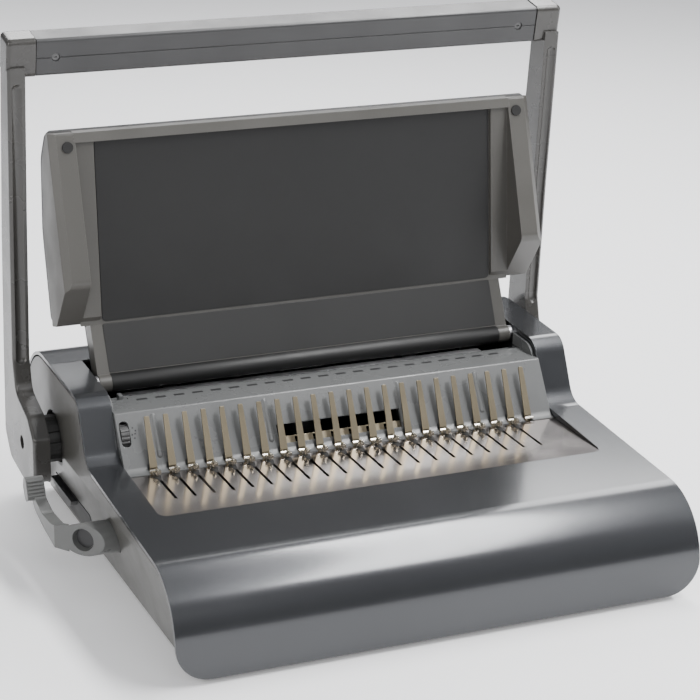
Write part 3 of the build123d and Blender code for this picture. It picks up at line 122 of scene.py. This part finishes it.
def make_floor():
    """Pale paper floor with a faint glow of its own, which keeps it even."""
    bpy.ops.mesh.primitive_plane_add(size=FLOOR_WIDE, location=(0.0, 0.0, 0.0))
    floor = bpy.context.object
    floor.name = "studio_floor"
    paper = finish("floor_paper", (0.92, 0.92, 0.93), roughness=0.8, tone=0.01, grain=60.0, depth=0.00004)
    shader = paper.node_tree.nodes["Principled BSDF"]
    shader.inputs["Emission Color"].default_value = WHITE + (1.0,)
    shader.inputs["Emission Strength"].default_value = FLOOR_GLOW
    floor.data.materials.append(paper)


# ---- materials -----------------------------------------------------------------
# Texture scales, in cells to the metre: slow changes of tone, of gloss, and the paint's flakes.
CLOUD_SCALE, GLOSS_SCALE = 9.0, 28.0
PAINT_CLOUD_SCALE, PAINT_GLOSS_SCALE, FLAKE_SCALE = 6.0, 22.0, 2600.0
CLOUD_SHARE, GRAIN_SHARE = 0.6, 0.4
EVEN = (1.0, 1.0, 1.0)
BRUSHED_ALONG_X, BRUSHED_ALONG_Z = (0.04, 1.0, 1.0), (1.0, 1.0, 0.05)
# Sockets of the colour Mix node, whose names repeat.
MIX_SHARE, MIX_ONE, MIX_TWO, MIX_RESULT = 0, 6, 7, 2


class Tree:
    """A material's node tree, with a short way to add and join nodes."""

    def __init__(self, name):
        self.material = bpy.data.materials.new(name)
        self.material.use_nodes = True
        self.nodes = self.material.node_tree.nodes
        self.links = self.material.node_tree.links
        self.shader = self.nodes["Principled BSDF"]

    def add(self, kind, values=None, **settings):
        """A new node. A value that is another node's output is linked, any other is set."""
        node = self.nodes.new(kind)
        for key, value in settings.items():
            setattr(node, key, value)
        for key, value in (values or {}).items():
            if hasattr(value, "is_linked"):
                self.links.new(value, node.inputs[key])
            else:
                node.inputs[key].default_value = value
        return node

    def place(self, stretch=EVEN):
        """Object coordinates, scaled along each axis."""
        where = self.add("ShaderNodeTexCoord").outputs["Object"]
        if stretch == EVEN:
            return where
        return self.add("ShaderNodeMapping", {"Vector": where, "Scale": stretch}).outputs["Vector"]

    def noise(self, scale, stretch=EVEN, detail=3.0):
        values = {"Vector": self.place(stretch), "Scale": scale, "Detail": detail, "Roughness": 0.5}
        return self.add("ShaderNodeTexNoise", values).outputs["Fac"]

    def spread(self, value, low, high, start=0.3, end=0.7):
        """value from start to end, carried over to low to high."""
        keys = {"Value": value, "From Min": start, "From Max": end, "To Min": low, "To Max": high}
        return self.add("ShaderNodeMapRange", keys, clamp=True).outputs["Result"]

    def math(self, operation, a, b=0.0):
        return self.add("ShaderNodeMath", {0: a, 1: b}, operation=operation).outputs[0]

    def mix(self, share, one, two):
        values = {MIX_SHARE: share, MIX_ONE: one, MIX_TWO: two}
        return self.add("ShaderNodeMix", values, data_type="RGBA").outputs[MIX_RESULT]

    def edge(self, radius):
        """Softened normal, and a weight that is 1 on edges that the softening rounds; it lightens edges,
        partly as wear and partly as painted highlight.
        """
        soft = self.add("ShaderNodeBevel", {"Radius": radius}, samples=4).outputs["Normal"]
        flat = self.add("ShaderNodeNewGeometry").outputs["Normal"]
        facing = self.add("ShaderNodeVectorMath", {0: soft, 1: flat}, operation="DOT_PRODUCT")
        return soft, self.spread(facing.outputs["Value"], 1.0, 0.0, 0.9, 0.995)

    def bump(self, height, distance, normal=None):
        values = {"Height": height, "Distance": distance, "Strength": 1.0}
        if normal is not None:
            values["Normal"] = normal
        return self.add("ShaderNodeBump", values).outputs["Normal"]

    def join(self, output, key):
        self.links.new(output, self.shader.inputs[key])


def rgba(color, share):
    """The colour made darker or lighter, with its alpha."""
    return tuple(min(1.0, c * share) for c in color) + (1.0,)


def finish(
    name,
    color,
    metallic=0.0,
    roughness=0.5,
    tone=0.06,
    rough_spread=0.06,
    grain=900.0,
    depth=0.00002,
    stretch=EVEN,
    coat=0.0,
    edge=0.0,
    edge_wear_and_highlight_tone=1.35,
    edge_radius=0.0006,
):
    """A solid finish: uneven tone, uneven gloss, moulded or brushed grain, and lighter edges that are partly
    wear and partly painted highlight.
    """
    tree = Tree(name)
    shader = tree.shader
    shader.inputs["Metallic"].default_value = metallic
    shader.inputs["Coat Weight"].default_value = coat
    shader.inputs["Coat Roughness"].default_value = 0.07
    cloud = tree.noise(CLOUD_SCALE, detail=4.0)
    fine = tree.noise(grain, stretch, detail=2.0)
    slow, quick = tree.math("MULTIPLY", cloud, CLOUD_SHARE), tree.math("MULTIPLY", fine, GRAIN_SHARE)
    blend = tree.math("ADD", slow, quick)
    paint = tree.mix(tree.spread(blend, 0.0, 1.0), rgba(color, 1.0 - tone), rgba(color, 1.0 + tone))
    normal = None
    # Lighter edges, partly wear and partly painted highlight: the colour is brightened where the softening
    # rounds an edge.
    if edge:
        normal, edge_wear_and_highlight_share = tree.edge(edge_radius)
        paint = tree.mix(tree.math("MULTIPLY", edge_wear_and_highlight_share, edge), paint, rgba(color, edge_wear_and_highlight_tone))
    tree.join(paint, "Base Color")
    gloss = tree.noise(GLOSS_SCALE, detail=5.0)
    tree.join(tree.spread(gloss, roughness - rough_spread, roughness + rough_spread), "Roughness")
    tree.join(tree.bump(fine, depth, normal), "Normal")
    return tree.material


def metal_flake_paint(name, color):
    """Dark glossy paint with fine bright flakes under a clear coat, and lighter edges that are partly wear
    and partly painted highlight.
    """
    tree = Tree(name)
    shader = tree.shader
    shader.inputs["Coat Weight"].default_value = 0.55
    shader.inputs["Coat Roughness"].default_value = 0.12
    flakes = tree.spread(tree.noise(FLAKE_SCALE, detail=1.0), 0.0, 1.0, 0.55, 0.75)
    cloud = tree.spread(tree.noise(PAINT_CLOUD_SCALE), 0.0, 1.0)
    paint = tree.mix(cloud, rgba(color, 0.94), rgba(color, 1.06))
    paint = tree.mix(tree.math("MULTIPLY", flakes, 0.3), paint, rgba(color, 2.4))
    # Lighter edges on the paint: partly wear, partly painted highlight.
    soft, edge_wear_and_highlight_share = tree.edge(0.0008)
    paint = tree.mix(tree.math("MULTIPLY", edge_wear_and_highlight_share, 0.5), paint, rgba(color, 1.8))
    tree.join(paint, "Base Color")
    tree.join(tree.spread(flakes, 0.55, 0.8, 0.0, 1.0), "Metallic")
    tree.join(tree.spread(tree.noise(PAINT_GLOSS_SCALE, detail=5.0), 0.20, 0.24), "Roughness")
    tree.join(tree.bump(tree.noise(FLAKE_SCALE, detail=1.0), 0.000006, soft), "Normal")
    return tree.material


def make_materials():
    """Every finish, by the name of its material slot, and the shades that single pieces have."""
    return {
        "cover_gloss": metal_flake_paint("metallic_cover_paint", (0.048, 0.050, 0.054)),
        "casing_grey": finish(
            "satin_casing_plastic", (0.064, 0.062, 0.056), roughness=0.36, edge=0.6, coat=0.15
        ),
        # The casing's plastic made darker for the handle arms and their pivot rims: painted shade.
        "arm_grey_painted_shade": finish(
            "satin_arm_plastic_painted_shade", (0.043, 0.041, 0.038), roughness=0.28, edge=0.7, coat=0.15,
            edge_wear_and_highlight_tone=1.7
        ),
        "tower_grey": finish(
            "satin_tower_plastic", (0.118, 0.121, 0.121), roughness=0.27, edge=0.6, tone=0.03
        ),
        "lever_grey": finish("satin_lever_plastic", (0.098, 0.100, 0.097), roughness=0.33, edge=0.6),
        "support_grey": finish(
            "satin_support_plastic", (0.075, 0.072, 0.066), roughness=0.36, edge=0.8, edge_wear_and_highlight_tone=1.7
        ),
        # Darker plastic of the support's recess: partly its own colour, partly painted shade of the recess.
        "support_dark": finish("dark_support_plastic_and_painted_shade", (0.05, 0.05, 0.05), roughness=0.45, edge=0.5),
        "bar_grey": finish(
            "satin_bar_paint", (0.050, 0.050, 0.051), metallic=0.35, roughness=0.38, edge=0.5,
            stretch=BRUSHED_ALONG_X
        ),
        "black_plastic": finish(
            "black_moulded_plastic", (0.012, 0.012, 0.013), roughness=0.42, tone=0.2, edge=0.5,
            edge_wear_and_highlight_tone=3.0
        ),
        "hub_dark": finish("dark_hub_plastic", (0.045, 0.045, 0.043), roughness=0.4, tone=0.12, edge=0.6),
        "wheel_grey": finish(
            "dark_wheel_paint", (0.06, 0.06, 0.06), metallic=0.3, roughness=0.38, tone=0.12, edge=0.8,
            edge_wear_and_highlight_tone=2.6, edge_radius=0.0004
        ),
        # Near-black plastic of the support's linings: partly its dark panel, partly painted shade of the
        # recess.
        "panel_dark": finish(
            "dark_panel_plastic_and_painted_shade", (0.007, 0.007, 0.007), roughness=0.5, tone=0.2, edge=0.5, edge_wear_and_highlight_tone=3.0
        ),
        # Dark ink of the printed marks, also laid as painted shade in the comb plate's slot mouths.
        "mark_ink": finish(
            "printed_ink_and_painted_shade", (0.014, 0.014, 0.015), roughness=0.5, tone=0.15, edge=0.4,
            edge_radius=0.0001
        ),
        "tray_black": finish("tray_plastic", (0.02, 0.02, 0.02), roughness=0.5, tone=0.2, edge=0.4),
        "rubber": finish(
            "black_rubber", (0.010, 0.010, 0.010), roughness=0.8, tone=0.25, grain=1600.0, depth=0.00004
        ),
        "polished_plate": finish(
            "polished_steel", (0.56, 0.52, 0.50), metallic=1.0, roughness=0.15, rough_spread=0.04,
            tone=0.04, grain=1400.0, stretch=BRUSHED_ALONG_X, depth=0.000004, edge=0.5,
            edge_radius=0.0004
        ),
        "nickel": finish(
            "satin_nickel", (0.235, 0.20, 0.138), metallic=0.75, roughness=0.38, tone=0.08, grain=1500.0,
            stretch=BRUSHED_ALONG_Z, depth=0.000008, edge=0.7, edge_wear_and_highlight_tone=2.0, edge_radius=0.0003
        ),
        "bright_nickel": finish(
            "bright_nickel", (0.70, 0.67, 0.60), metallic=1.0, roughness=0.16, tone=0.06, grain=1500.0,
            depth=0.000004, edge=0.8, edge_wear_and_highlight_tone=1.2, edge_radius=0.0002
        ),
        "hook_nickel": finish(
            "polished_hook_nickel", (0.50, 0.46, 0.38), metallic=1.0, roughness=0.2, tone=0.08, grain=1500.0,
            depth=0.000004, edge=0.7, edge_wear_and_highlight_tone=1.5, edge_radius=0.0002
        ),
        "dark_steel": finish(
            "blackened_steel", (0.10, 0.10, 0.10), metallic=0.8, roughness=0.35, tone=0.12, edge=0.8,
            edge_wear_and_highlight_tone=3.0, edge_radius=0.0003
        ),
        "steel": finish(
            "bare_steel", (0.48, 0.48, 0.49), metallic=1.0, roughness=0.33, tone=0.1, grain=1200.0,
            stretch=BRUSHED_ALONG_X, depth=0.00001, edge=0.5
        ),
        "brass": finish("turned_brass", (0.62, 0.43, 0.17), metallic=1.0, roughness=0.3, tone=0.1, edge=0.4),
    }


# Nodes whose shade differs from the rest of their slot. The handle arms' darker copy of the casing plastic
# is painted shade.
OWN_SHADE = {
    "left_handle_arm": "arm_grey_painted_shade",
    "right_handle_arm": "arm_grey_painted_shade",
    "crossbar_screws": "dark_steel",
    "comb_hooks": "hook_nickel",
}


def paint_nodes(materials):
    """Gives every CAD node the finish of its material slot, or its own shade of it."""
    for part in frame["record"]["subparts"]:
        slots = NODES[part["node"]].data.materials
        slots.clear()
        slots.append(materials[OWN_SHADE.get(part["node"], part["material_slot"])])


# ---- ways to make small pieces --------------------------------------------------
ELEMENTS = {"VERT": "vertices", "EDGE": "edges"}


def start(add, name, **values):
    """A new primitive, the only thing selected."""
    if bpy.context.mode != "OBJECT":
        bpy.ops.object.mode_set(mode="OBJECT")
    bpy.ops.object.select_all(action="DESELECT")
    add(**values)
    piece = bpy.context.object
    piece.name = name
    piece.data.name = name
    return piece


def block(name, size):
    """A box of its own size round the origin, to be shaped."""
    piece = start(bpy.ops.mesh.primitive_cube_add, name, size=1.0)
    piece.scale = size
    bpy.ops.object.transform_apply(location=False, rotation=False, scale=True)
    return piece


def edit_where(piece, kind, test):
    """Edit mode, with only the vertices or edges selected that pass the test."""
    bpy.ops.object.mode_set(mode="EDIT")
    bpy.ops.mesh.select_all(action="DESELECT")
    bpy.ops.mesh.select_mode(type=kind)
    bpy.ops.object.mode_set(mode="OBJECT")
    for element in getattr(piece.data, ELEMENTS[kind]):
        element.select = test(element)
    bpy.ops.object.mode_set(mode="EDIT")


def soften(piece, width, segments=2):
    """Rounds the piece's edges with an applied bevel."""
    bevel = piece.modifiers.new("bevel", "BEVEL")
    bevel.width = width
    bevel.segments = segments
    bevel.limit_method = "ANGLE"
    bpy.context.view_layer.objects.active = piece
    bpy.ops.object.modifier_apply(modifier="bevel")


def slab(name, size, corner):
    """A thin plate with rounded corners and edges, lying flat round the origin."""
    piece = block(name, size)

    def upright(edge):
        a, b = (piece.data.vertices[i].co for i in edge.vertices)
        return abs(a.z - b.z) > size[2] / 2

    edit_where(piece, "EDGE", upright)
    bpy.ops.mesh.bevel(offset=corner, segments=3)
    bpy.ops.object.mode_set(mode="OBJECT")
    soften(piece, size[2] * 0.25, 1)
    return piece


def settle(piece, turn, place):
    """Puts the mesh, built round the origin, at its place and leaves the object at the origin."""
    piece.data.transform(Matrix.Translation(place) @ Matrix.Rotation(turn, 4, "X"))
    piece.data.update()


def centre_line(node):
    """Y and Z of the middle of a node that lies along X."""
    low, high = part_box(node)
    return (low[1] + high[1]) / 2, (low[2] + high[2]) / 2


def row_of(piece, count):
    """The piece and its copies, numbered from 2, each with a mesh of its own."""
    row = [piece]
    for i in range(1, count):
        twin = piece.copy()
        twin.data = piece.data.copy()
        twin.name = f"{piece.name}_{i + 1}"
        twin.data.name = twin.name
        bpy.context.scene.collection.objects.link(twin)
        row.append(twin)
    return row


def hand_over(piece, body, shade):
    """The finish and the body that it rides on."""
    piece.data.materials.clear()
    piece.data.materials.append(MATERIALS[shade])
    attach(piece, body)


def lay_ink_and_painted_shade(piece):
    """Dark ink printed on the base; in the slot mouths of the comb plate the same dark sheet is painted
    shade.
    """
    hand_over(piece, "base", "mark_ink")


# ---- marks on the punch tower ---------------------------------------------------
# Front wall of the tower, from its foot to the ledge.
WALL_LOW = Vector((0.0, 2.5 * MM, 76.6 * MM))
WALL_HIGH = Vector((0.0, 27.0 * MM, 114.5 * MM))
LEDGE_TOP = WALL_HIGH.z
DASH_SIZE, DASH_CORNER = (8.0 * MM, 3.0 * MM, 0.3 * MM), 0.5 * MM
DASH_Y = 49.0 * MM
# Size marks, and how far the two stand from the first dash.
MARK_SIZE, MARK_EDGE = (0.6 * MM, 1.0 * MM, 0.24 * MM), 0.05 * MM
MARK_STEPS, MARK_Y = (-6.0 * MM, 4.0 * MM), DASH_Y - 7.5 * MM
# Dots beside the thumbwheel: how far to its right, and the share of the wall's height.
WHEEL_DOTS = ((3.2 * MM, 0.74), (5.0 * MM, 0.69), (2.2 * MM, 0.63), (4.4 * MM, 0.64), (3.6 * MM, 0.57))
DOT_R, DOT_HIGH, DOT_EDGE = 0.62 * MM, 0.24 * MM, 0.06 * MM


def add_dashes():
    """One dash on the ledge for each punch."""
    dashes = row_of(slab("ledge_dash", DASH_SIZE, DASH_CORNER), RINGS)
    for dash, x in zip(dashes, PUNCH_XS):
        settle(dash, 0.0, (x, DASH_Y, LEDGE_TOP))
        lay_ink_and_painted_shade(dash)


def add_size_marks():
    """Two small printed marks in front of the first dash."""
    for i, step in enumerate(MARK_STEPS):
        mark = block(f"size_mark_{i + 1}", MARK_SIZE)
        soften(mark, MARK_EDGE, 1)
        settle(mark, 0.0, (PUNCH_XS[0] + step, MARK_Y, LEDGE_TOP))
        lay_ink_and_painted_shade(mark)


def add_wheel_dots():
    """Five printed dots beside the thumbwheel, on the sloping wall."""
    wheel_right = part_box("thumbwheel")[1][0]
    along = WALL_HIGH - WALL_LOW
    slope = math.atan2(along.z, along.y)
    for i, (step, height) in enumerate(WHEEL_DOTS):
        dot = start(
            bpy.ops.mesh.primitive_cylinder_add, f"wheel_dot_{i + 1}", vertices=20, radius=DOT_R,
            depth=DOT_HIGH,
        )
        soften(dot, DOT_EDGE, 1)
        spot = WALL_LOW.lerp(WALL_HIGH, height)
        settle(dot, slope, (wheel_right + step, spot.y, spot.z))
        lay_ink_and_painted_shade(dot)


# ---- tabs of the comb, and painted shade in its slot mouths ---------------------
FINGER_HALF = 2.8 * MM
TAB_SIZE, TAB_CORNER = (7.4 * MM, 1.5 * MM, 1.3 * MM), 0.35 * MM
TAB_Y, TAB_Z, TAB_TILT = -1.0 * MM, 78.6 * MM, math.radians(25.0)
# Size and place of the dark sheets that paint the shade in the slot mouths.
MOUTH_SIZE, MOUTH_CORNER = (6.4 * MM, 9.0 * MM, 0.24 * MM), 0.5 * MM
MOUTH_TAPER, MOUTH_Y = 0.35, -9.0 * MM
FIRST_SLOT_X = -PITCH * RINGS / 2


def add_finger_shoulders():
    """Bright pressed tabs that hold the foot of each comb finger."""
    low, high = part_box("comb_fingers")
    first, last = low[0] + FINGER_HALF, high[0] - FINGER_HALF
    tabs = row_of(slab("finger_shoulder", TAB_SIZE, TAB_CORNER), FINGERS)
    for i, tab in enumerate(tabs):
        settle(tab, TAB_TILT, (first + (last - first) * i / (FINGERS - 1), TAB_Y, TAB_Z))
        hand_over(tab, "base", "bright_nickel")


def add_slot_mouth_painted_shades():
    """Painted shade: a dark tapering sheet on the comb plate where each slot opens behind its hook, standing
    for the shade inside the slot.
    """
    slot_shade_sheet = slab("slot_mouth_painted_shade", MOUTH_SIZE, MOUTH_CORNER)
    edit_where(slot_shade_sheet, "VERT", lambda corner: corner.co.y < 0.0)
    bpy.ops.transform.resize(value=(MOUTH_TAPER, 1.0, 1.0))
    bpy.ops.object.mode_set(mode="OBJECT")
    plate_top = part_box("comb_plate")[1][2]
    for i, piece in enumerate(row_of(slot_shade_sheet, RINGS)):
        settle(piece, 0.0, (FIRST_SLOT_X + PITCH * i, MOUTH_Y, plate_top))
        lay_ink_and_painted_shade(piece)


# ---- dark linings of the document support, partly painted shade of its recess ---
# Front face of the support, from the neck's foot to the panel's foot and top.
NECK_FOOT = Vector((0.0, 78.0 * MM, 127.0 * MM))
PANEL_FOOT = Vector((0.0, 93.0 * MM, 160.0 * MM))
PANEL_TOP = Vector((0.0, 105.5 * MM, 300.0 * MM))
LINING_WIDE, LINING_THICK, LINING_PROUD = 317.0 * MM, 0.8 * MM, 0.3 * MM
PANEL_MARGIN = 4.0 * MM
SLEEVE_R, SLEEVE_EDGE = 6.9 * MM, 0.6 * MM


def lay_dark_plastic_and_painted_shade(name, low, high, margin, corner):
    """A dark layer on the support's front face, from low to high: partly the support's dark panel, partly
    painted shade of its recess.
    """
    along = high - low
    slope = math.atan2(along.z, along.y)
    dark_and_shade_layer = slab(name, (LINING_WIDE, along.length - margin, LINING_THICK), corner)
    out = Vector((0.0, -math.sin(slope), math.cos(slope))) * LINING_PROUD
    settle(dark_and_shade_layer, slope, (low + high) / 2 + out)
    hand_over(dark_and_shade_layer, "document_support", "panel_dark")


def add_hinge_dark_plastic_and_painted_shade():
    """A dark cover round the hinge barrel: partly the support's dark plastic, partly painted shade."""
    barrel_dark_and_shade = start(
        bpy.ops.mesh.primitive_cylinder_add, "hinge_dark_plastic_and_painted_shade", vertices=48, radius=SLEEVE_R,
        depth=LINING_WIDE,
    )
    soften(barrel_dark_and_shade, SLEEVE_EDGE)
    barrel_dark_and_shade.data.transform(Matrix.Rotation(math.radians(90.0), 4, "Y"))
    bpy.ops.object.shade_smooth_by_angle(angle=math.radians(30.0))
    settle(barrel_dark_and_shade, 0.0, (0.0, *centre_line("support_hinge_pins")))
    hand_over(barrel_dark_and_shade, "document_support", "panel_dark")


def add_dark_plastic_and_painted_shade():
    """Dark linings on the panel between the hollow corners beside the wings, the neck and the hinge barrel:
    partly the support's dark plastic, partly painted shade of the recess.
    """
    lay_dark_plastic_and_painted_shade("panel_dark_plastic_and_painted_shade", PANEL_FOOT, PANEL_TOP, PANEL_MARGIN, 3.0 * MM)
    lay_dark_plastic_and_painted_shade("neck_dark_plastic_and_painted_shade", NECK_FOOT, PANEL_FOOT, 0.0, 1.0 * MM)
    add_hinge_dark_plastic_and_painted_shade()


# ---- rims of the handle's pivots ------------------------------------------------
RIM_R, RIM_WIRE_R = 6.0 * MM, 0.9 * MM
# The rim is longer than wide, and flatter than its wire.
RIM_SHAPE = (1.0, 1.25, 0.55)
RIM_SUNK = 0.52 * MM


def add_pivot_rims():
    """A raised rim round the pivot hole of each handle arm."""
    y, z = centre_line("cross_shaft")
    arm_face = -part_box("left_handle_arm")[0][0]
    for side, name in ((-1, "pivot_rim_left"), (1, "pivot_rim_right")):
        rim = start(
            bpy.ops.mesh.primitive_torus_add, name, major_radius=RIM_R, minor_radius=RIM_WIRE_R,
            major_segments=48, minor_segments=10,
        )
        bpy.ops.object.shade_smooth()
        bpy.ops.object.mode_set(mode="EDIT")
        bpy.ops.mesh.select_all(action="SELECT")
        bpy.ops.transform.resize(value=RIM_SHAPE)
        bpy.ops.object.mode_set(mode="OBJECT")
        rim.data.transform(Matrix.Rotation(math.radians(90.0), 4, "Y"))
        settle(rim, 0.0, (side * (arm_face - RIM_SUNK), y, z))
        # The rims take the arms' darker copy of the casing plastic, which is painted shade.
        hand_over(rim, "handle", "arm_grey_painted_shade")


make_camera()
make_sky()
make_softboxes()
MATERIALS = make_materials()
make_floor()
paint_nodes(MATERIALS)
add_dashes()
add_size_marks()
add_wheel_dots()
add_finger_shoulders()
add_pivot_rims()
add_dark_plastic_and_painted_shade()
add_slot_mouth_painted_shades()
